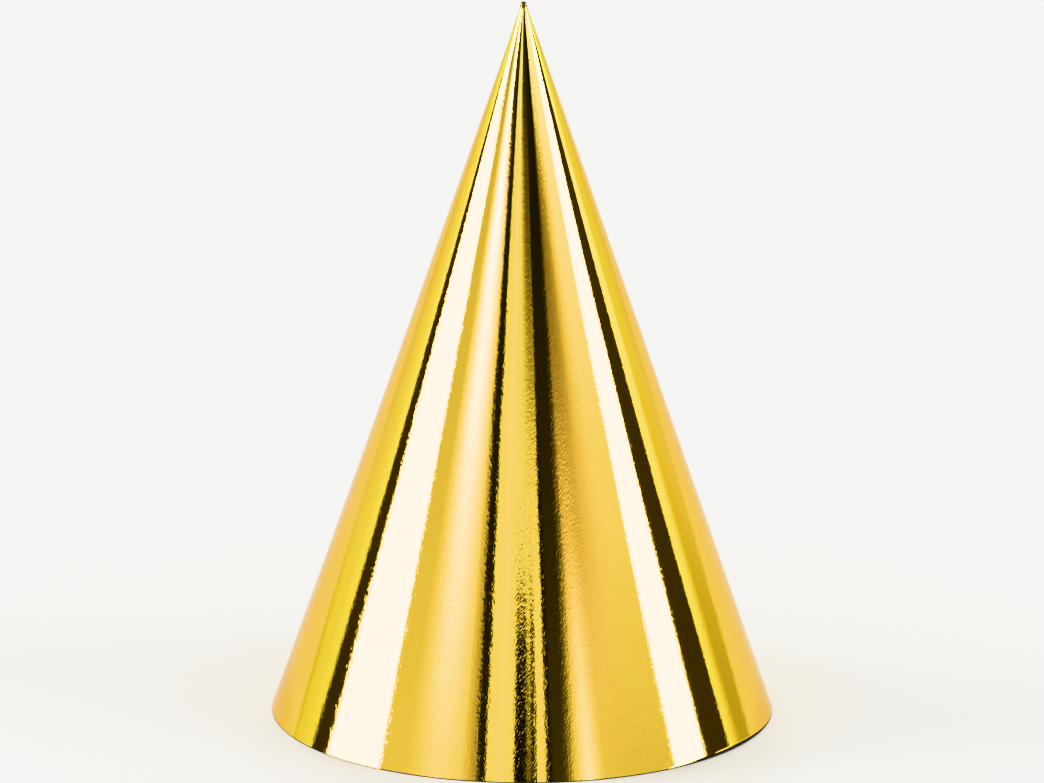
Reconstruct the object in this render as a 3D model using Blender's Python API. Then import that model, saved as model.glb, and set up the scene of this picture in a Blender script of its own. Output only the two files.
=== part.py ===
"""New year party hat: a cone rolled from one flat blank of gold-faced card.

Metres, +Z up. The brim lies on Z = 0, centred on the origin, and the front faces -Y. The blank's two straight
edges overlap at the back, on +Y, where a line of glue joins them. The wall is a spiral in plan: its radius grows
evenly along the roll, so that the outer flap passes over the inner flap and its glue.
"""

import math

import bmesh
import bpy
from mathutils import Matrix, Vector

# Driving dimensions
BRIM_RADIUS = 0.0555
CONE_HEIGHT = 0.1605  # from the brim to where the outside would meet the axis
TIP_RADIUS = 0.0005  # the rolled tip ends blunt
PINHOLE_RADIUS = 0.00008  # what stays open in the middle of the tip
CARD_THICKNESS = 0.00035
FILM_THICKNESS = 0.00005
GLUE_THICKNESS = 0.00006
LAYER_GAP = 0.00002  # between any two layers
FILM_SETBACK = 0.00015  # the film stops this far above the card's cut edge
GLUE_SETBACK = 0.002  # the glue stops short of the brim
GLUE_TOP = 0.150
CORD_HOLE_RADIUS = 0.0015
CORD_HOLE_HEIGHT = 0.014
CORD_HOLE_SETBACK = math.radians(8)  # behind the line from ear to ear

# How the roll is divided: stations go round it, and rows go up it
STATIONS_PER_TURN = 96
FLAP_STATIONS = 4
GLUE_FIRST_STATION = 1
GLUE_LAST_STATION = 3
SHEET_ROWS = 5
GLUE_ROWS = 3
HOLE_SIDES = 24
CUTTER_LENGTH = 0.012

# Worked out from the sizes above
WALL_TAPER = BRIM_RADIUS / CONE_HEIGHT
WALL_SLOPE = math.atan(WALL_TAPER)
BACK = math.pi / 2
LAST_STATION = STATIONS_PER_TURN + FLAP_STATIONS
FRONT_STATION = LAST_STATION / 2
CARD_DEPTH = FILM_THICKNESS + LAYER_GAP  # from the outside to the card's outer face
WALL_THICKNESS = CARD_DEPTH + CARD_THICKNESS
FLAP_GAP = GLUE_THICKNESS + 2 * LAYER_GAP
WRAP_STEP = (WALL_THICKNESS + FLAP_GAP) / math.cos(WALL_SLOPE)
TIP_HEIGHT = CONE_HEIGHT - TIP_RADIUS / WALL_TAPER


def clear_scene():
    for obj in list(bpy.data.objects):
        bpy.data.objects.remove(obj)


def material(name, colour, roughness, metallic=0.0):
    made = bpy.data.materials.new(name)
    made.use_nodes = True
    shader = made.node_tree.nodes["Principled BSDF"]
    shader.inputs["Base Color"].default_value = (*colour, 1.0)
    shader.inputs["Roughness"].default_value = roughness
    shader.inputs["Metallic"].default_value = metallic
    return made


def plan_angle(station):
    """The angle of a station seen from above. The middle of the overlap is at the back."""
    turn = (station - FLAP_STATIONS / 2) / STATIONS_PER_TURN
    return BACK + turn * math.tau


def wall_radius(station, height, depth):
    """The radius of a layer's face, at a depth measured square to the wall from its outside."""
    wrap = WRAP_STEP * (station - FRONT_STATION) / STATIONS_PER_TURN
    radius = (CONE_HEIGHT - height) * WALL_TAPER + wrap - depth / math.cos(WALL_SLOPE)
    return max(radius, PINHOLE_RADIUS)


def wall_point(station, height, depth):
    radius = wall_radius(station, height, depth)
    angle = plan_angle(station)
    return Vector((radius * math.cos(angle), radius * math.sin(angle), height))


def row_heights(bottom, top, rows):
    """Heights whose distances from the apex shrink by one ratio, so that the facets keep their shape."""
    low, high = CONE_HEIGHT - bottom, CONE_HEIGHT - top
    return [CONE_HEIGHT - low * (high / low) ** (row / rows) for row in range(rows + 1)]


def face_grid(bm, stations, heights, depth):
    return [[bm.verts.new(wall_point(station, height, depth)) for height in heights] for station in stations]


def bridge(bm, first, second):
    """Quads between two rows of vertices of the same length."""
    for (a, b), (c, d) in zip(zip(first, first[1:]), zip(second, second[1:])):
        bm.faces.new((a, b, d, c))


def rolled_sheet(name, stations, heights, depths, finish):
    """A sheet that follows the roll, as one closed solid between its outer and its inner face."""
    bm = bmesh.new()
    outer, inner = (face_grid(bm, stations, heights, depth) for depth in depths)
    for grid in (outer, inner):
        for left, right in zip(grid, grid[1:]):
            bridge(bm, left, right)
    for row in (0, -1):
        bridge(bm, [column[row] for column in outer], [column[row] for column in inner])
    for column in (0, -1):
        bridge(bm, outer[column], inner[column])
    bmesh.ops.recalc_face_normals(bm, faces=bm.faces)
    mesh = bpy.data.meshes.new(name)
    bm.to_mesh(mesh)
    bm.free()
    mesh.shade_smooth()
    mesh.set_sharp_from_angle(angle=math.radians(30))
    mesh.materials.append(finish)
    sheet = bpy.data.objects.new(name, mesh)
    bpy.context.scene.collection.objects.link(sheet)
    return sheet


def cord_hole_cutter(name, angle):
    """A punch through the wall, square to it, where one end of the chin elastic goes in."""
    radius = (CONE_HEIGHT - CORD_HOLE_HEIGHT) * WALL_TAPER
    outward = Vector((math.cos(angle), math.sin(angle), WALL_TAPER)).normalized()
    bm = bmesh.new()
    bmesh.ops.create_cone(
        bm,
        cap_ends=True,
        segments=HOLE_SIDES,
        radius1=CORD_HOLE_RADIUS,
        radius2=CORD_HOLE_RADIUS,
        depth=CUTTER_LENGTH,
    )
    mesh = bpy.data.meshes.new(name)
    bm.to_mesh(mesh)
    bm.free()
    cutter = bpy.data.objects.new(name, mesh)
    centre = Vector((radius * math.cos(angle), radius * math.sin(angle), CORD_HOLE_HEIGHT))
    cutter.matrix_world = Matrix.Translation(centre) @ outward.to_track_quat("Z", "Y").to_matrix().to_4x4()
    cutter.hide_render = True
    cutter.display_type = "WIRE"
    bpy.context.scene.collection.objects.link(cutter)
    return cutter


def punch(sheet, cutters):
    for cutter in cutters:
        cut = sheet.modifiers.new(cutter.name, "BOOLEAN")
        cut.operation = "DIFFERENCE"
        cut.solver = "EXACT"
        cut.object = cutter


def card_cone():
    """The white card blank, from its inner flap round to its outer flap. The hat stands on its cut edge."""
    return rolled_sheet(
        "card_cone",
        range(LAST_STATION + 1),
        row_heights(0.0, TIP_HEIGHT, SHEET_ROWS),
        (CARD_DEPTH, WALL_THICKNESS),
        material("white_card", (0.86, 0.85, 0.82), 0.8),
    )


def gold_film():
    """The mirror-gold film on the whole of the card's outside, its flaps included."""
    return rolled_sheet(
        "gold_film",
        range(LAST_STATION + 1),
        row_heights(FILM_SETBACK, TIP_HEIGHT, SHEET_ROWS),
        (0.0, FILM_THICKNESS),
        material("gold_film", (0.95, 0.62, 0.07), 0.08, metallic=1.0),
    )


def seam_glue():
    """The line of glue on the inner flap's film, under the outer flap."""
    return rolled_sheet(
        "seam_glue",
        range(GLUE_FIRST_STATION, GLUE_LAST_STATION + 1),
        row_heights(GLUE_SETBACK, GLUE_TOP, GLUE_ROWS),
        (-LAYER_GAP - GLUE_THICKNESS, -LAYER_GAP),
        material("glue", (0.80, 0.74, 0.58), 0.35),
    )


def main():
    clear_scene()
    card, film = card_cone(), gold_film()
    seam_glue()
    cutters = [
        cord_hole_cutter("cord_hole_right", CORD_HOLE_SETBACK),
        cord_hole_cutter("cord_hole_left", math.pi - CORD_HOLE_SETBACK),
    ]
    punch(card, cutters)
    punch(film, cutters)


main()
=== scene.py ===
"""Looks of the new year party hat: a cone rolled from card that is faced with mirror-gold film.

Metres, +Z up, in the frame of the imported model. The hat's front faces -Y and its glued seam is at the back.
"""

import math
from dataclasses import dataclass

import bmesh
import bpy
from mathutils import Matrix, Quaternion, Vector, noise


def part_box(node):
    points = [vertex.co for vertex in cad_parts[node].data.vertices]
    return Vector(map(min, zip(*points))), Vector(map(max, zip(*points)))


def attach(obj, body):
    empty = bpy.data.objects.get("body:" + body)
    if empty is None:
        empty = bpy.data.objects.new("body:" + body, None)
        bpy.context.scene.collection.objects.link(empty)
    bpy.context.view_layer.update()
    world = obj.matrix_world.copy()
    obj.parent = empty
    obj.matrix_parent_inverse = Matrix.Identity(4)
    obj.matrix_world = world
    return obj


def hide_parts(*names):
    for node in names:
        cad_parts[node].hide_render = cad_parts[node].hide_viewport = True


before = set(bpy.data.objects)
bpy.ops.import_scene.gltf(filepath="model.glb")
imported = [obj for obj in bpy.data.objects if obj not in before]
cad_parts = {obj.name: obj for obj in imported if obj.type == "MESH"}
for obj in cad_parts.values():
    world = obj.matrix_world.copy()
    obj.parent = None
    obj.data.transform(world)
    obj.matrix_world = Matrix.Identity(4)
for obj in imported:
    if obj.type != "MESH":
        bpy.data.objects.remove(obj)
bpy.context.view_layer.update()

# ------------------------------------------------------------------------------------------------------------
# Sizes. The cone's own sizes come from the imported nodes, and the layers' thicknesses repeat the model's.
# ------------------------------------------------------------------------------------------------------------
MM = 0.001
FILM_LOW, FILM_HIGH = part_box("gold_film")
TIP_RISE = 0.4 * MM  # how much higher the tip reaches than the model's
APEX_RISE = 1.45 * MM
BRIM_SPREAD = 0.05 * MM  # how much wider the brim is than the model's film, which ends a little above it
TIP_HEIGHT = FILM_HIGH.z + TIP_RISE
CONE_HEIGHT = FILM_HIGH.z + APEX_RISE  # where the outside would meet the axis
BRIM_RADIUS = (FILM_HIGH.x - FILM_LOW.x) / 2 + BRIM_SPREAD
CARD_THICKNESS = 0.35 * MM
FILM_THICKNESS = 0.05 * MM
GLUE_THICKNESS = 0.06 * MM
LAYER_GAP = 0.02 * MM

WALL_TAPER = BRIM_RADIUS / CONE_HEIGHT
WALL_SLOPE = math.atan(WALL_TAPER)
CARD_DEPTH = FILM_THICKNESS + LAYER_GAP  # of the card's outside, below the film's
WALL_THICKNESS = CARD_DEPTH + CARD_THICKNESS
# How far out the roll moves in one turn, so that the flap lies on the glue
WRAP_STEP = (WALL_THICKNESS + GLUE_THICKNESS + 2 * LAYER_GAP) / math.cos(WALL_SLOPE)

# The roll: it starts under the overlap at the back and ends one turn and one flap later.
BACK = math.pi / 2
FLAP_ANGLE = math.radians(15)
ROLL_ANGLE = math.tau + FLAP_ANGLE
GLUE_ANGLES = math.radians(3.75), math.radians(11.25)
GLUE_HEIGHTS = 2 * MM, 150 * MM

CORD_HOLE_RADIUS = 1.5 * MM
CORD_HOLE_HEIGHT = 14 * MM
CORD_HOLE_ANGLES = math.radians(8), math.pi - math.radians(8)

# The tip and the brim
TIP_RADIUS = 0.56 * MM  # the roll can't close to a point
TIP_ROUNDING = 4  # the power that blends the cone into the blunt tip
PINHOLE_RADIUS = 0.12 * MM
TIP_RECESS = 0.9 * MM  # how far the card's end lies below the film's at the tip
TIP_WRAP_RADIUS = 4 * MM  # where the cone is narrower than this, its spiral closes up
TIP_LEAN = 0.25 * MM  # how far the tip is bent to the camera's left
CUT_EDGE = 0.18 * MM  # how far the card's lowest strip, coloured near black as painted shadow, shows below the film's edge
WIDE_SHADOW_EDGE = 0.70 * MM  # and how far at the front right, where the film's edge is raised to bare more of that painted shadow
EDGE_RAISE_ZONE = 8 * MM  # above this the raised edge makes no difference
LIP_HEIGHT = 0.13 * MM  # at the front right the film also curls outward, just above its edge
LIP_CURL = 0.03 * MM
LIP_ROWS = 0, 0.33, 0.67, 1  # shares of the lip's height
ABOVE_LIP = 1.2  # the first row of the plain wall, in lip heights above the edge
FRONT_LIFT = 0.06 * MM  # the brim isn't quite flat: its front just clears the table
RIGHT_LIFT = 0.12 * MM  # and it clears it most at the front right
FRONT_RIGHT = math.radians(-90 + 58)
FRONT_RIGHT_SPREAD = math.radians(29)

# How the card departs from a true cone
FLARE = 0.10 * MM  # its sides curve in by this much half way up
WAVE_HEIGHT = 0.02 * MM
WAVE_LENGTH = 28 * MM
CREASE_HEIGHT = 0.0012 * MM
CREASES = 70  # round the roll: faint creases that run up the cone, from the rolling
CREASE_LENGTH = 60 * MM
EVEN_TIP_SHARE = 1 / 6  # waves and creases fade out over this share of the cone, at its tip
FLAP_LIFT = 0.25 * MM
FLAP_CORNER_LIFT = 0.5 * MM
FLAP_CORNER_HEIGHT = 22 * MM

# How finely the meshes are divided
COLUMN_ANGLE = math.radians(1)
ROW_SPACING = 1.6 * MM
TIP_ZONE = 6 * MM  # here the radius changes quickly, so the rows are closer
TIP_ROWS = 16
TIP_CROWDING = 1.4
HOLE_HALF_COLUMNS = 4  # how many columns the patch round a hole takes, each way from its middle
HOLE_PATCH_RADII = 1.7  # and how many hole radii it reaches up and down
HOLE_RINGS = 0.4, 0.7, 0.9, 1.0  # shares of the way from the patch's outline to the hole
SMOOTH_BELOW = math.radians(35)

# The camera: a long lens, a little above the hat
CAMERA_DISTANCE = 1.6145
CAMERA_ELEVATION = math.radians(14.51)
CAMERA_PIVOT_HEIGHT = 80.7 * MM
CAMERA_AIM = Vector((-0.2 * MM, 0, 72.3 * MM))
CAMERA_ROLL = math.radians(0.27)
CAMERA_LENS_MM = 254.15
CAMERA_SENSOR_MM = 36.0
CAMERA_CLIP_END = 20.0

FLOOR_RADIUS = 4.0
FLOOR_SIDES = 96
FLOOR_REFLECTANCE = 0.2  # it looks paler than this, under the studio's strong light from above


# ------------------------------------------------------------------------------------------------------------
# The rolled sheet
# ------------------------------------------------------------------------------------------------------------
def smooth_step(x):
    x = min(max(x, 0.0), 1.0)
    return x * x * (3 - 2 * x)


def plan_angle(roll):
    """The angle seen from above, of a place that lies at this angle along the roll."""
    return BACK - FLAP_ANGLE / 2 + roll


def roll_at(angle):
    """The angle along the roll, of a place that lies at this angle seen from above."""
    return (angle - BACK + FLAP_ANGLE / 2) % math.tau


def front_right(angle):
    """1 at the front right of the brim, and less to either side of it."""
    off = abs((angle - FRONT_RIGHT + math.pi) % math.tau - math.pi)
    return 0.5 + 0.5 * math.cos(math.pi * min(off / FRONT_RIGHT_SPREAD, 1))


def brim_lift(angle):
    """How far the brim is off the table: nowhere at the back, and most at the front right."""
    front = max(math.cos(angle + math.pi / 2), 0)
    return FRONT_LIFT * math.sqrt(front) + RIGHT_LIFT * front_right(angle)


def shadow_strip_raise(angle, height):
    """How much higher the film's edge, and what is just above it, lies at the front right, which bares a
    wider strip of the card's painted-shadow edge.
    """
    above = smooth_step(1 - (height - CUT_EDGE) / EDGE_RAISE_ZONE)
    return (WIDE_SHADOW_EDGE - CUT_EDGE) * front_right(angle) * min(height / CUT_EDGE, 1) * above


def flap_lift(roll, height):
    """The outer flap stands off a little past the glue, and more at the brim's corner."""
    past_glue = smooth_step((roll - math.tau - GLUE_ANGLES[1]) / (FLAP_ANGLE - GLUE_ANGLES[1]))
    corner = smooth_step(1 - height / FLAP_CORNER_HEIGHT)
    edge = smooth_step(1 - height / CONE_HEIGHT)
    return past_glue * (FLAP_LIFT * edge + FLAP_CORNER_LIFT * corner)


def unevenness(angle, height):
    """How far the card stands off a true cone here: a slight waist, shallow waves and fine creases."""
    share = 1 - height / CONE_HEIGHT
    radius = share * BRIM_RADIUS
    place = Vector((radius * math.cos(angle), radius * math.sin(angle), height)) / WAVE_LENGTH
    waves = WAVE_HEIGHT * noise.noise(place)
    around = Vector((math.cos(angle), math.sin(angle), 0)) * CREASES / math.tau
    creases = CREASE_HEIGHT * noise.noise(around + Vector((0, 0, height / CREASE_LENGTH)))
    flare = -FLARE * math.sin(math.pi * share)
    return flare + (waves + creases) * smooth_step(share / EVEN_TIP_SHARE)


def wall_point(roll, height, depth):
    """A point of the roll, at a depth square to the wall from its outside."""
    angle = plan_angle(roll)
    wrap = WRAP_STEP * (roll - ROLL_ANGLE / 2) / math.tau
    cone = (CONE_HEIGHT - height) * WALL_TAPER
    blunt_cone = (cone**TIP_ROUNDING + TIP_RADIUS**TIP_ROUNDING) ** (1 / TIP_ROUNDING)
    outside = blunt_cone + wrap * smooth_step(cone / TIP_WRAP_RADIUS)
    outside += unevenness(angle, height) + flap_lift(roll, height)
    radius = max(outside - depth / math.cos(WALL_SLOPE), PINHOLE_RADIUS)
    lean = TIP_LEAN * smooth_step(2 * height / CONE_HEIGHT - 1)
    return Vector((radius * math.cos(angle) - lean, radius * math.sin(angle), height))


def flat_place(roll, height):
    """Where a point lies on the flat blank, in metres from the blank's apex. The card's grain follows it."""
    slant = (CONE_HEIGHT - height) / math.cos(WALL_SLOPE)
    turn = (roll - ROLL_ANGLE / 2) * math.sin(WALL_SLOPE)
    return slant * math.sin(turn), -slant * math.cos(turn)


def roll_columns(start, end):
    count = round((end - start) / COLUMN_ANGLE)
    return [start + (end - start) * i / count for i in range(count + 1)]


def row_heights(bottom, top):
    """Even rows, and closer ones at the tip."""
    even_height = top - TIP_ZONE - bottom
    count = round(even_height / ROW_SPACING)
    even = [bottom + even_height * row / count for row in range(count)]
    return even + [top - TIP_ZONE * (1 - row / TIP_ROWS) ** TIP_CROWDING for row in range(TIP_ROWS + 1)]


@dataclass
class Hole:
    """A round hole, and the block of cells round it that a patch of rings takes the place of."""

    column: int
    row: int
    half_columns: int
    half_rows: int
    radius: float

    def covers(self, column, row):
        across = self.column - self.half_columns <= column < self.column + self.half_columns
        return across and self.row - self.half_rows <= row < self.row + self.half_rows

    def outline(self):
        """The columns and rows of the block's outline, in order round it."""
        left, right = self.column - self.half_columns, self.column + self.half_columns
        low, high = self.row - self.half_rows, self.row + self.half_rows
        return (
            [(column, low) for column in range(left, right)]
            + [(right, row) for row in range(low, high)]
            + [(column, high) for column in range(right, left, -1)]
            + [(left, row) for row in range(high, low, -1)]
        )


class SheetBuilder:
    """Collects the vertices and faces of a sheet between two depths, as one closed solid."""

    def __init__(self, rolls, heights, depths, lip_curl=0.0):
        self.rolls, self.heights, self.depths, self.lip_curl = rolls, heights, depths, lip_curl
        self.points, self.places, self.faces = [], [], []
        self.grids = [self.grid(depth) for depth in depths]
        self.holes = []
        self.cut_faces = set()

    def vertex(self, roll, height, depth):
        angle = plan_angle(roll)
        lift = brim_lift(angle) * (1 - height / CONE_HEIGHT) + shadow_strip_raise(angle, height)
        curl = self.lip_curl * front_right(angle) * smooth_step(1 - (height - CUT_EDGE) / LIP_HEIGHT)
        self.points.append(wall_point(roll, height + lift, depth - curl))
        self.places.append(flat_place(roll, height))
        return len(self.points) - 1

    def grid(self, depth):
        return [[self.vertex(roll, height, depth) for height in self.heights] for roll in self.rolls]

    def add_face(self, corners, cut=False):
        if cut:
            self.cut_faces.add(len(self.faces))
        self.faces.append(corners)

    def bridge(self, first, second, cut=False):
        for (a, b), (c, d) in zip(zip(first, first[1:]), zip(second, second[1:])):
            self.add_face((a, b, d, c), cut)

    def punch(self, angle, height, radius):
        """Marks a round hole. Rings of faces take the place of the block of cells round it."""
        roll = roll_at(angle)
        column = min(range(len(self.rolls)), key=lambda i: abs(self.rolls[i] - roll))
        row = min(range(len(self.heights)), key=lambda j: abs(self.heights[j] - height))
        spacing = self.heights[row] - self.heights[row - 1]
        half_rows = max(2, round(HOLE_PATCH_RADII * radius / spacing) + 1)
        self.holes.append(Hole(column, row, HOLE_HALF_COLUMNS, half_rows, radius))

    def fill_round_hole(self, hole, grid, depth):
        """Rings between the block's outline and the hole. Returns the hole's own ring."""
        middle_roll, middle_height = self.rolls[hole.column], self.heights[hole.row]
        metres_per_roll = (CONE_HEIGHT - middle_height) * WALL_TAPER
        metres_per_height = 1 / math.cos(WALL_SLOPE)
        outline = hole.outline()
        ring = [grid[column][row] for column, row in outline]
        for share in HOLE_RINGS:
            inner = []
            for column, row in outline:
                across = (self.rolls[column] - middle_roll) * metres_per_roll
                along = (self.heights[row] - middle_height) * metres_per_height
                scale = (1 - share) + share * hole.radius / math.hypot(across, along)
                roll = middle_roll + across * scale / metres_per_roll
                height = middle_height + along * scale / metres_per_height
                inner.append(self.vertex(roll, height, depth))
            self.bridge(ring + ring[:1], inner + inner[:1])
            ring = inner
        return ring

    def build(self, name, material, edge_shadow_material=None):
        """The finished piece. Its cut edges, and the lowest row outside, take the second material, the
        painted shadow of the brim's gap where one is given.
        """
        outer, inner = self.grids
        for grid in self.grids:
            for column, (here, there) in enumerate(zip(grid, grid[1:])):
                for row in range(len(self.heights) - 1):
                    if not any(hole.covers(column, row) for hole in self.holes):
                        corners = (here[row], here[row + 1], there[row + 1], there[row])
                        self.add_face(corners, cut=row == 0 and grid is outer)
        for row in (0, -1):
            self.bridge([column[row] for column in outer], [column[row] for column in inner], cut=True)
        for column in (0, -1):
            self.bridge(outer[column], inner[column], cut=True)
        for hole in self.holes:
            rings = [self.fill_round_hole(hole, grid, depth) for grid, depth in zip(self.grids, self.depths)]
            self.bridge(rings[0] + rings[0][:1], rings[1] + rings[1][:1], cut=True)
        return self.piece(name, material, edge_shadow_material)

    def piece(self, name, material, edge_shadow_material):
        mesh = bpy.data.meshes.new(name)
        mesh.from_pydata(self.points, [], self.faces)
        uv = mesh.uv_layers.new(name="flat_blank")
        for loop in mesh.loops:
            uv.data[loop.index].uv = self.places[loop.vertex_index]
        mesh.shade_smooth()
        mesh.set_sharp_from_angle(angle=SMOOTH_BELOW)
        mesh.materials.append(material)
        if edge_shadow_material:
            mesh.materials.append(edge_shadow_material)
            for face in self.cut_faces:
                mesh.polygons[face].material_index = 1
        face_outwards(mesh)
        return add_object(name, mesh)


def face_outwards(mesh):
    bm = bmesh.new()
    bm.from_mesh(mesh)
    bmesh.ops.recalc_face_normals(bm, faces=bm.faces)
    bm.to_mesh(mesh)
    bm.free()


def add_object(name, data):
    made = bpy.data.objects.new(name, data)
    bpy.context.scene.collection.objects.link(made)
    return made


# ------------------------------------------------------------------------------------------------------------
# Materials
# ------------------------------------------------------------------------------------------------------------
WHITE = (1, 1, 1)

# The Mix node's sockets, which share their names between its data types
MIX_SHARE = 0
MIX_VALUES, MIX_VALUE_RESULT = (2, 3), 0
MIX_COLOURS, MIX_COLOUR_RESULT = (6, 7), 2


def is_socket(value):
    return isinstance(value, bpy.types.NodeSocket)


class Graph:
    """A node tree that is written as calls: each adds a node, links its inputs and returns what it gives."""

    def __init__(self, tree):
        self.tree = tree

    def connect(self, value, socket):
        if is_socket(value):
            self.tree.links.new(value, socket)
        else:
            socket.default_value = value

    def add(self, kind, inputs=(), **settings):
        made = self.tree.nodes.new(kind)
        for name, value in settings.items():
            setattr(made, name, value)
        for socket, value in dict(inputs).items():
            self.connect(value, made.inputs[socket])
        return made

    def math(self, operation, *values):
        return self.add("ShaderNodeMath", enumerate(values), operation=operation).outputs[0]

    def step(self, value, start, end):
        """0 before start, 1 after end, and a smooth rise between them."""
        inputs = {"Value": value, "From Min": start, "From Max": end}
        return self.add("ShaderNodeMapRange", inputs, interpolation_type="SMOOTHSTEP").outputs["Result"]

    def ramp(self, value, low, high, end=1.0):
        """A straight rise from low, where the value is 0, to high, where it reaches the end."""
        inputs = {"Value": value, "From Max": end, "To Min": low, "To Max": high}
        return self.add("ShaderNodeMapRange", inputs).outputs["Result"]

    def clamp(self, value, low, high):
        return self.add("ShaderNodeClamp", {"Value": value, "Min": low, "Max": high}).outputs[0]

    def noise(self, coordinates, size=1.0, detail=0.0):
        """Noise from 0 to 1, whose blots are about this size."""
        inputs = {"Vector": coordinates, "Scale": 1 / size, "Detail": detail}
        return self.add("ShaderNodeTexNoise", inputs).outputs["Fac"]

    def strokes(self, coordinates, degrees, length, width, detail):
        """Noise that is drawn out into strokes, which run at this angle."""
        rotation = (0, 0, math.radians(degrees))
        inputs = {"Vector": coordinates, "Rotation": rotation, "Scale": (length, width, 1)}
        drawn_out = self.add("ShaderNodeMapping", inputs, vector_type="TEXTURE").outputs["Vector"]
        return self.noise(drawn_out, detail=detail)

    def mix_value(self, share, first, second, label=""):
        inputs = {MIX_SHARE: share, **dict(zip(MIX_VALUES, (first, second)))}
        return self.add("ShaderNodeMix", inputs, data_type="FLOAT", label=label).outputs[MIX_VALUE_RESULT]

    def mix_colour(self, share, first, second):
        colours = [colour if is_socket(colour) else (*colour, 1) for colour in (first, second)]
        inputs = {MIX_SHARE: share, **dict(zip(MIX_COLOURS, colours))}
        return self.add("ShaderNodeMix", inputs, data_type="RGBA").outputs[MIX_COLOUR_RESULT]

    def length(self, vector):
        return self.add("ShaderNodeVectorMath", {0: vector}, operation="LENGTH").outputs["Value"]

    def bump(self, height, depth, normal=None):
        """Relief of this depth, on top of another relief's normal."""
        inputs = {"Height": height, "Distance": depth, "Strength": 1.0}
        if normal:
            inputs["Normal"] = normal
        return self.add("ShaderNodeBump", inputs).outputs["Normal"]


class SurfaceMaterial(Graph):
    """A Principled material. Its plain values stand in where its nodes aren't read."""

    def __init__(self, name, base_colour, **values):
        self.material = bpy.data.materials.new(name)
        self.material.use_nodes = True
        super().__init__(self.material.node_tree)
        self.shader = self.tree.nodes["Principled BSDF"]
        self.set("Base Color", (*base_colour, 1))
        for name, value in values.items():
            self.set(name.replace("_", " "), value)

    def set(self, name, value):
        self.connect(value, self.shader.inputs[name])

    def blank(self):
        """The coordinates of the flat blank."""
        return self.add("ShaderNodeUVMap", uv_map="flat_blank").outputs["UV"]


# The film's relief, through which the card shows: the strokes' angle in degrees, length, width and depth
FILM_STROKES = (
    (52, 0.9 * MM, 0.36 * MM, 0.0031 * MM),  # fibres
    (-63, 1.1 * MM, 0.40 * MM, 0.0020 * MM),  # fibres that cross them
    (90, 2.4 * MM, 1.1 * MM, 0.0045 * MM),  # peel
)
LOOSE_FIBRES = (70, 0.9 * MM, 0.3 * MM)
LOOSE_FIBRE_DEPTH = 0.002 * MM
LOOSE_FIBRE_RANGE = 0.5, 0.85  # of the noise: only its peaks stand out
RELIEF_SLANT = 90 * MM  # the relief is full this far from the apex
RELIEF_AT_TIP = 0.3
STREAKS_PER_RADIAN = 110  # of the flat blank, and finer than the creases
STREAK_LENGTH = 90 * MM
STREAK_DEPTH = 0.007 * MM
CLOUD_SIZE = 9 * MM  # the film's tone and roughness vary over about this length
FILM_TONES = (0.98, 0.645, 0.088), (0.98, 0.672, 0.104)
FILM_ROUGHNESS = 0.015, 0.04
TIP_DULL_TONE = (0.82, 0.65, 0.15)
TIP_DULL_SLANTS = 40 * MM, 8 * MM  # from where the film's tone turns duller and greener towards the tip, to where it fully is
# Painted shade: over its last few millimetres, at the tightly rolled tip, the film turns near black.
TIP_SHADE_TONE = (0.10, 0.065, 0.02)
TIP_SHADE_SLANTS = 3.2 * MM, 2.4 * MM
TIP_SHADE_UNEVENNESS = 0.6 * MM


def rolling_streaks(surface, blank):
    """Fine straight streaks from the brim to the tip, from the rolling, that are as steep at every height."""
    across, along, _ = surface.add("ShaderNodeSeparateXYZ", {0: blank}).outputs
    angle = surface.math("ARCTAN2", across, surface.math("MULTIPLY", along, -1))
    slant = surface.length(blank)
    place = {
        "X": surface.math("MULTIPLY", angle, STREAKS_PER_RADIAN),
        "Y": surface.math("DIVIDE", slant, STREAK_LENGTH),
    }
    height = surface.noise(surface.add("ShaderNodeCombineXYZ", place).outputs[0], detail=2.0)
    return surface.math("MULTIPLY", height, surface.math("DIVIDE", slant, CONE_HEIGHT))


def gold_film_material():
    """Mirror-gold film, through which the card's fibres show as fine strokes."""
    surface = SurfaceMaterial("gold_film", (0.98, 0.66, 0.095), Metallic=1.0, Roughness=0.03)
    surface.set("Specular Tint", (0.84, 0.72, 0.58, 1))
    blank = surface.blank()
    slant = surface.length(blank)
    relief = surface.ramp(slant, RELIEF_AT_TIP, 1.0, end=RELIEF_SLANT)
    normal = None
    for degrees, length, width, depth in FILM_STROKES:
        strokes = surface.strokes(blank, degrees, length, width, detail=1.0)
        normal = surface.bump(surface.math("MULTIPLY", strokes, relief), depth, normal)
    normal = surface.bump(rolling_streaks(surface, blank), STREAK_DEPTH, normal)
    loose = surface.step(surface.strokes(blank, *LOOSE_FIBRES, detail=0.0), *LOOSE_FIBRE_RANGE)
    normal = surface.bump(surface.math("MULTIPLY", loose, relief), LOOSE_FIBRE_DEPTH, normal)
    surface.set("Normal", normal)
    cloud = surface.noise(blank, CLOUD_SIZE, detail=3.0)
    surface.set("Roughness", surface.ramp(cloud, *FILM_ROUGHNESS))
    colour = surface.mix_colour(cloud, *FILM_TONES)
    # The film's tone turns duller and greener towards the tip.
    colour = surface.mix_colour(surface.step(slant, *TIP_DULL_SLANTS), colour, TIP_DULL_TONE)
    # Painted shade at the tip, with an uneven border.
    uneven_slant = surface.math("ADD", slant, surface.math("MULTIPLY", cloud, TIP_SHADE_UNEVENNESS))
    colour = surface.mix_colour(surface.step(uneven_slant, *TIP_SHADE_SLANTS), colour, TIP_SHADE_TONE)
    surface.set("Base Color", colour)
    return surface.material


CARD_TONES = (0.82, 0.81, 0.77), (0.89, 0.88, 0.86)
SPECK_TONE = (0.55, 0.50, 0.42)
SPECK_STRENGTH = 0.35
SPECK_RANGE = 0.74, 0.80  # of the noise: only its peaks are specks
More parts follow.
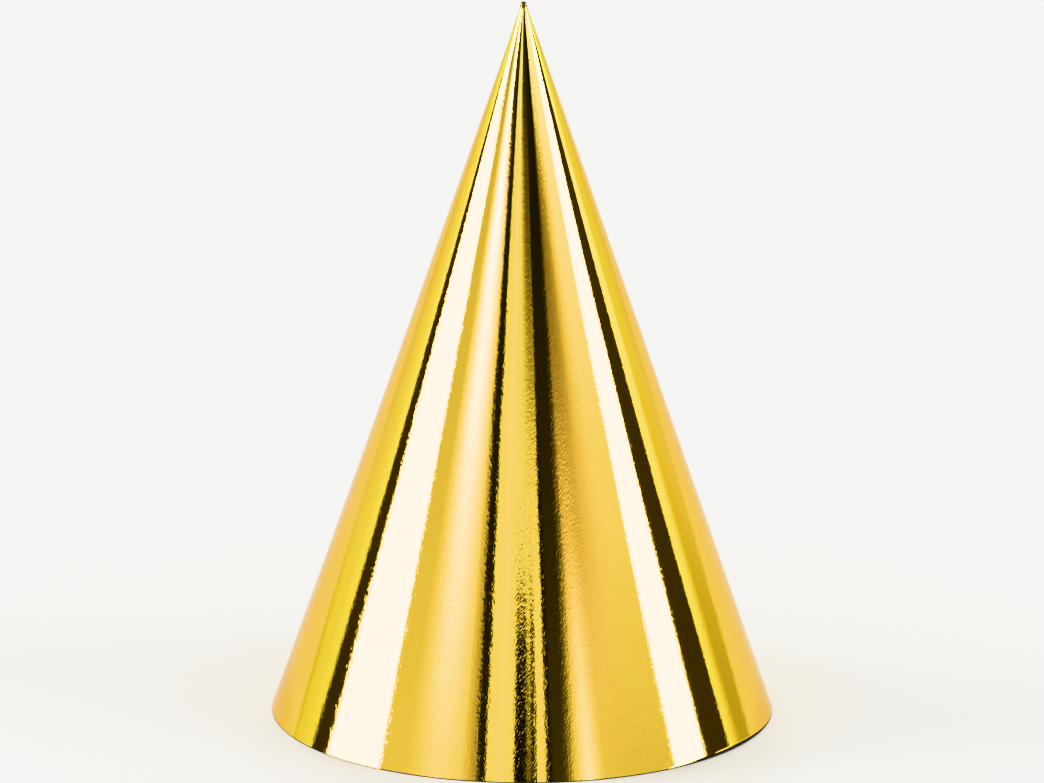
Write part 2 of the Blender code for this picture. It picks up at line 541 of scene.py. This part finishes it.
# Painted shadow: the card's cut edges and its lowest strip outside are near black, for the shade in the gap
# under the brim.
EDGE_SHADOW_TONES = (0.006, 0.004, 0.002), (0.022, 0.015, 0.008)
GLUE_TONES = (0.74, 0.66, 0.48), (0.86, 0.81, 0.68)


def white_card_material():
    """Uncoated white board, with its fibres, a few darker specks and a slightly uneven tone."""
    surface = SurfaceMaterial("white_card", (0.86, 0.85, 0.82), Roughness=0.85)
    blank = surface.blank()
    fibres = surface.strokes(blank, degrees=14, length=2.2 * MM, width=0.22 * MM, detail=3.0)
    cloud = surface.noise(blank, size=5 * MM, detail=4.0)
    specks = surface.step(surface.noise(blank, size=0.7 * MM), *SPECK_RANGE)
    tone = surface.mix_colour(cloud, *CARD_TONES)
    tone = surface.mix_colour(surface.math("MULTIPLY", specks, SPECK_STRENGTH), tone, SPECK_TONE)
    surface.set("Base Color", tone)
    fibre_relief = surface.bump(fibres, depth=0.03 * MM)
    surface.set("Normal", surface.bump(cloud, depth=0.05 * MM, normal=fibre_relief))
    surface.set("Roughness", surface.ramp(fibres, low=0.75, high=0.95))
    return surface.material


def card_edge_painted_shadow_material():
    """The board's cut edge: dull, near-black brown, which is painted shadow of the gap under the brim, with
    fibres standing out of it.
    """
    surface = SurfaceMaterial("card_edge_painted_shadow", (0.012, 0.008, 0.004), Roughness=0.95, Specular_IOR_Level=0.1)
    fibres = surface.noise(surface.blank(), size=0.25 * MM, detail=3.0)
    surface.set("Base Color", surface.mix_colour(fibres, *EDGE_SHADOW_TONES))
    surface.set("Normal", surface.bump(fibres, depth=0.03 * MM))
    return surface.material


def glue_material():
    """Dried pale glue, with small bubbles in it."""
    surface = SurfaceMaterial("glue", (0.80, 0.74, 0.58), Roughness=0.35)
    blank = surface.blank()
    cloud = surface.noise(blank, size=2 * MM, detail=3.0)
    bubbles = surface.noise(blank, size=0.4 * MM, detail=1.0)
    surface.set("Base Color", surface.mix_colour(cloud, *GLUE_TONES))
    surface.set("Normal", surface.bump(bubbles, depth=0.02 * MM))
    surface.set("Roughness", surface.ramp(cloud, low=0.25, high=0.5))
    return surface.material


def floor_material():
    return SurfaceMaterial("floor", (FLOOR_REFLECTANCE,) * 3, Roughness=0.9, Specular_IOR_Level=0.1).material


# ------------------------------------------------------------------------------------------------------------
# The hat's pieces
# ------------------------------------------------------------------------------------------------------------
def gold_film():
    lip = [CUT_EDGE + LIP_HEIGHT * share for share in LIP_ROWS]
    heights = [*lip, *row_heights(CUT_EDGE + ABOVE_LIP * LIP_HEIGHT, TIP_HEIGHT)]
    film = SheetBuilder(roll_columns(0, ROLL_ANGLE), heights, (0, FILM_THICKNESS), LIP_CURL)
    for angle in CORD_HOLE_ANGLES:
        film.punch(angle, CORD_HOLE_HEIGHT, CORD_HOLE_RADIUS)
    return film.build("gold_film_skin", gold_film_material())


def card_cone():
    heights = [0, *row_heights(CUT_EDGE, TIP_HEIGHT - TIP_RECESS)]
    card = SheetBuilder(roll_columns(0, ROLL_ANGLE), heights, (CARD_DEPTH, WALL_THICKNESS))
    for angle in CORD_HOLE_ANGLES:
        card.punch(angle, CORD_HOLE_HEIGHT, CORD_HOLE_RADIUS)
    # The card's cut edges and lowest strip outside take the painted shadow.
    return card.build("card_cone_shell", white_card_material(), card_edge_painted_shadow_material())


def seam_glue():
    depths = -LAYER_GAP - GLUE_THICKNESS, -LAYER_GAP
    glue = SheetBuilder(roll_columns(*GLUE_ANGLES), row_heights(*GLUE_HEIGHTS), depths)
    return glue.build("seam_glue_line", glue_material())


# ------------------------------------------------------------------------------------------------------------
# The studio
# ------------------------------------------------------------------------------------------------------------
@dataclass
class Panel:
    """A softbox, a flag or a stretch of wall, as it stands round the hat.

    Left and right are azimuths in degrees from the camera's direction, positive to its right. Rise tells how
    far up the hat a place is mirrored: 0 at the brim and 1 at the tip. Bottom and top are rises, and without
    them the panel has no end. Over the whole rise the left and right edges move by their leans, and the
    brightness, in stops, by stops_up. Soft is the width of the blur at the left and right edges, and
    soft_ends at the bottom and top.
    """

    name: str
    left: float
    right: float
    stops: float
    stops_up: float = 0.0
    soft: tuple = (1.5, 1.5)
    lean: tuple = (0.0, 0.0)
    bottom: float | None = None
    top: float | None = None
    soft_ends: float = 0.1
    tint: tuple = WHITE


YELLOWISH = (1.0, 1.08, 0.64)
LEMON = (1.0, 1.12, 0.56)
OLIVE = (1.0, 0.96, 0.6)
WARM = (1.0, 0.93, 1.0)
BROWN = (1.0, 0.85, 1.0)
PANELS = [  # each stands in front of those before it
    # the left side
    Panel("wall_left", -140, -109, 0.05, 0.4, soft=(14, 1), tint=YELLOWISH),
    Panel(
        "wall_left_far", -136, -123, -0.4, soft=(4, 4), lean=(-20, -25),
        top=0.3, soft_ends=0.2, tint=YELLOWISH,
    ),
    Panel("rim_left", -116, -106, 0.25, 1.0, soft=(5, 1), lean=(-1, -1), tint=LEMON),
    Panel("flag_left", -109.2, -97, -4.6, lean=(-1, -3), tint=BROWN),
    Panel("softbox_left", -98.5, -66.5, 4.65, soft=(1.5, 2), lean=(-4, -4)),
    Panel("trough_left", -68, -55, -0.1, -0.5, soft=(1, 6), lean=(-4, 0)),
    Panel("glow_left", -47, -30, 0.8, 6.2, soft=(16, 20), lean=(-8, -6)),
    Panel("shade_left", -24.5, -17, -0.9, soft=(9, 1), lean=(-6, -7), tint=WARM),
    Panel("flag_thin", -19.6, -15.6, -6, soft=(1.8, 1.2), lean=(-13, -7)),
    # the middle
    Panel("wall_middle", -16.2, 11, 0.5, soft=(1.5, 1), lean=(-5.5, 0), tint=(1, 1.04, 1)),
    Panel("streak", -12, -8, 0.7, 0.5, soft=(3, 3)),
    Panel("camera_body", -3.2, 2.6, -7, top=0.25, soft_ends=0.06),
    Panel("camera_side", 2.6, 6.6, -2.2, top=0.14, soft_ends=0.08),
    Panel("camera_strap", 4.3, 6.7, -5.5, top=0.25, soft_ends=0.08),
    Panel("shade_middle", 6, 14, -3.2, soft=(12, 2), lean=(-8, 0), bottom=0.55, soft_ends=0.5, tint=WARM),
    # the right side
    Panel("wall_right", 36, 74, -0.3, 2.25, soft=(24, 2)),
    Panel(
        "shade_right", 20, 49, 1.1, -4.5, soft=(1, 26), lean=(0, -12),
        bottom=0.15, soft_ends=0.3, tint=BROWN,
    ),
    Panel("highlight_low", 28, 35, 2.2, -5, soft=(6, 8), top=0.3, soft_ends=0.3),
    Panel("flag_middle", 12.3, 21.8, -4.3, -2.5, soft=(1.5, 6), lean=(-3, 8), tint=WARM),
    Panel("flag_middle_edge", 12.3, 14.6, -6.5, soft=(1.5, 2), lean=(-3, -3), top=0.45, soft_ends=0.2),
    Panel("softbox_right", 74, 92, 4.65, soft=(2, 1.5), lean=(-9, -6.5)),
    Panel("flag_right", 93, 108.4, -4.4, lean=(-7, -6.5), tint=BROWN),
    Panel("edge_light_right", 108.4, 136, -0.2, 0.3, soft=(1, 6), lean=(-6.5, 0), tint=YELLOWISH),
    Panel("rim_right", 108.2, 118, 0.5, 1.2, soft=(1, 4), lean=(-6.5, -5), tint=LEMON),
    Panel(
        "wall_right_far", 114, 136, -0.9, 2.0, soft=(8, 5), lean=(4, 0),
        top=0.45, soft_ends=0.3, tint=OLIVE,
    ),
    # what only the top of the hat mirrors
    Panel(
        "trough_left_top", -62, -50, -1.3, soft=(4, 6), lean=(-20, -20),
        bottom=0.75, soft_ends=0.15, tint=WARM,
    ),
    Panel(
        "flag_thin_top", 13.5, 38.5, -5, soft=(3, 3), lean=(-66, -80),
        bottom=0.72, soft_ends=0.1, tint=BROWN,
    ),
    Panel("flag_middle_top", -5, 19, -5, soft=(9, 4), bottom=0.82, soft_ends=0.2, tint=BROWN),
    Panel("wall_right_top", 46, 60, 1.6, soft=(8, 8), lean=(-20, 0), bottom=0.82, soft_ends=0.26),
    # behind the hat
    Panel("softbox_back_left", -176, -158, 4.4, soft=(2, 2)),
    Panel("flag_back_left", -158, -152, -4),
    Panel("flag_back", 172, 176, -5),
    Panel("softbox_back_right", 157, 170, 4.4, soft=(2, 2)),
    Panel("flag_back_right", 151, 157, -4),
]
WALL_STOPS = 0.0  # where there is no panel
BRIGHTEST_STOPS = 4.8
LIGHT_ABOVE_STOPS = 2.6
LIGHT_ABOVE_ELEVATIONS = 44, 60  # degrees: from where it begins, to where it is full
BACKDROP_STRENGTH = 1.5

# Towards the horizon the far walls, at either side, fade into the floor's tone. Each pair goes from where
# that begins to where it is full.
HORIZON_STOPS = -0.1
HORIZON_ELEVATIONS = 5.5, 0  # degrees
HORIZON_AZIMUTHS = 113, 119  # degrees, to the left or the right
HORIZON_RISES = 0.1, 0.5

# Where the brim is mirrored, in degrees: the elevation at the camera's own azimuth, how much it falls with
# the square of the azimuth, and how many degrees there are from there to what the tip mirrors
BRIM_ELEVATION = 20.3
BRIM_FALL = 0.00128
BRIM_TO_TIP = 6.1
HIGHEST_RISE = 0.95


def rise_of(graph, azimuth, elevation):
    """How far up the hat the place at this azimuth and elevation is mirrored."""
    falling = graph.math("MULTIPLY", BRIM_FALL, graph.math("POWER", azimuth, 2))
    above_brim = graph.math("ADD", graph.math("SUBTRACT", elevation, BRIM_ELEVATION), falling)
    return graph.clamp(graph.math("DIVIDE", above_brim, BRIM_TO_TIP), 0.0, HIGHEST_RISE)


def panel_share(graph, panel, azimuth, rise):
    """How much of what shows at this place is the panel, from 0 to 1."""
    share = None
    edges = (  # the coordinate, the edge's place on it, its softness, its lean and the panel's side of it
        (azimuth, panel.left, panel.soft[0], panel.lean[0], 1),
        (azimuth, panel.right, panel.soft[1], panel.lean[1], -1),
        (rise, panel.bottom, panel.soft_ends, 0, 1),
        (rise, panel.top, panel.soft_ends, 0, -1),
    )
    for value, place, soft, lean, side in edges:
        if place is None:
            continue
        if lean:
            value = graph.math("SUBTRACT", value, graph.math("MULTIPLY", rise, lean))
        mask = graph.step(value, place - side * soft / 2, place + side * soft / 2)
        share = graph.math("MULTIPLY", share, mask) if share else mask
    return share


def studio_layers(graph, azimuth, elevation):
    """What stands round the hat, from back to front: each one's share, stops, tint and name."""
    rise = rise_of(graph, azimuth, elevation)
    for panel in PANELS:
        stops = graph.math("ADD", graph.math("MULTIPLY", rise, panel.stops_up), panel.stops)
        stops = graph.math("MINIMUM", stops, BRIGHTEST_STOPS)
        yield panel_share(graph, panel, azimuth, rise), stops, panel.tint, panel.name
    horizon = graph.step(graph.math("ABSOLUTE", azimuth), *HORIZON_AZIMUTHS)
    horizon = graph.math("MULTIPLY", horizon, graph.step(elevation, *HORIZON_ELEVATIONS))
    horizon = graph.math("MULTIPLY", horizon, graph.step(rise, *HORIZON_RISES))
    yield horizon, HORIZON_STOPS, WHITE, "horizon"
    yield graph.step(elevation, *LIGHT_ABOVE_ELEVATIONS), LIGHT_ABOVE_STOPS, WHITE, "light_above"


def studio_light():
    """Lights the scene from all round with the panels, and shows the camera a plain pale backdrop."""
    world = bpy.data.worlds.new("studio")
    world.use_nodes = True
    bpy.context.scene.world = world
    world.node_tree.nodes.clear()
    graph = Graph(world.node_tree)
    direction = graph.add("ShaderNodeTexCoord").outputs["Generated"]
    x, y, z = graph.add("ShaderNodeSeparateXYZ", {0: direction}).outputs
    degree = math.radians(1)
    azimuth = graph.math("DIVIDE", graph.math("ARCTAN2", x, graph.math("MULTIPLY", y, -1)), degree)
    elevation = graph.math("DIVIDE", graph.math("ARCSINE", z), degree)

    stops, tint = WALL_STOPS, WHITE
    for share, own_stops, own_tint, name in studio_layers(graph, azimuth, elevation):
        stops = graph.mix_value(share, stops, own_stops, label=name)
        tint = graph.mix_colour(share, tint, own_tint)

    studio = graph.add("ShaderNodeBackground", {"Color": tint, "Strength": graph.math("POWER", 2.0, stops)})
    backdrop = graph.add("ShaderNodeBackground", {"Color": (*WHITE, 1), "Strength": BACKDROP_STRENGTH})
    to_camera = graph.add("ShaderNodeLightPath").outputs["Is Camera Ray"]
    mixed = graph.add("ShaderNodeMixShader", {0: to_camera, 1: studio.outputs[0], 2: backdrop.outputs[0]})
    graph.add("ShaderNodeOutputWorld", {0: mixed.outputs[0]})


def floor():
    """A large round table top."""
    turns = [math.tau * side / FLOOR_SIDES for side in range(FLOOR_SIDES)]
    points = [(FLOOR_RADIUS * math.cos(turn), FLOOR_RADIUS * math.sin(turn), 0) for turn in turns]
    mesh = bpy.data.meshes.new("floor")
    mesh.from_pydata(points, [], [tuple(range(FLOOR_SIDES))])
    mesh.materials.append(floor_material())
    return add_object("floor", mesh)


def camera():
    data = bpy.data.cameras.new("camera")
    data.lens = CAMERA_LENS_MM
    data.sensor_width = CAMERA_SENSOR_MM
    data.clip_end = CAMERA_CLIP_END
    made = add_object("camera", data)
    along, up = math.cos(CAMERA_ELEVATION), math.sin(CAMERA_ELEVATION)
    made.location = (0, -CAMERA_DISTANCE * along, CAMERA_PIVOT_HEIGHT + CAMERA_DISTANCE * up)
    look = (CAMERA_AIM - made.location).to_track_quat("-Z", "Y")
    made.rotation_mode = "QUATERNION"
    made.rotation_quaternion = look @ Quaternion((0, 0, 1), CAMERA_ROLL)
    bpy.context.scene.camera = made


def main():
    camera()
    studio_light()
    bpy.context.scene.view_settings.view_transform = "Khronos PBR Neutral"
    floor()
    for piece, node, slot in (
        (gold_film(), "gold_film", "gold_film"),
        (card_cone(), "card_cone", "white_card"),
        (seam_glue(), "seam_glue", "glue"),
    ):
        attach(piece, "root")
        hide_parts(node)


main()
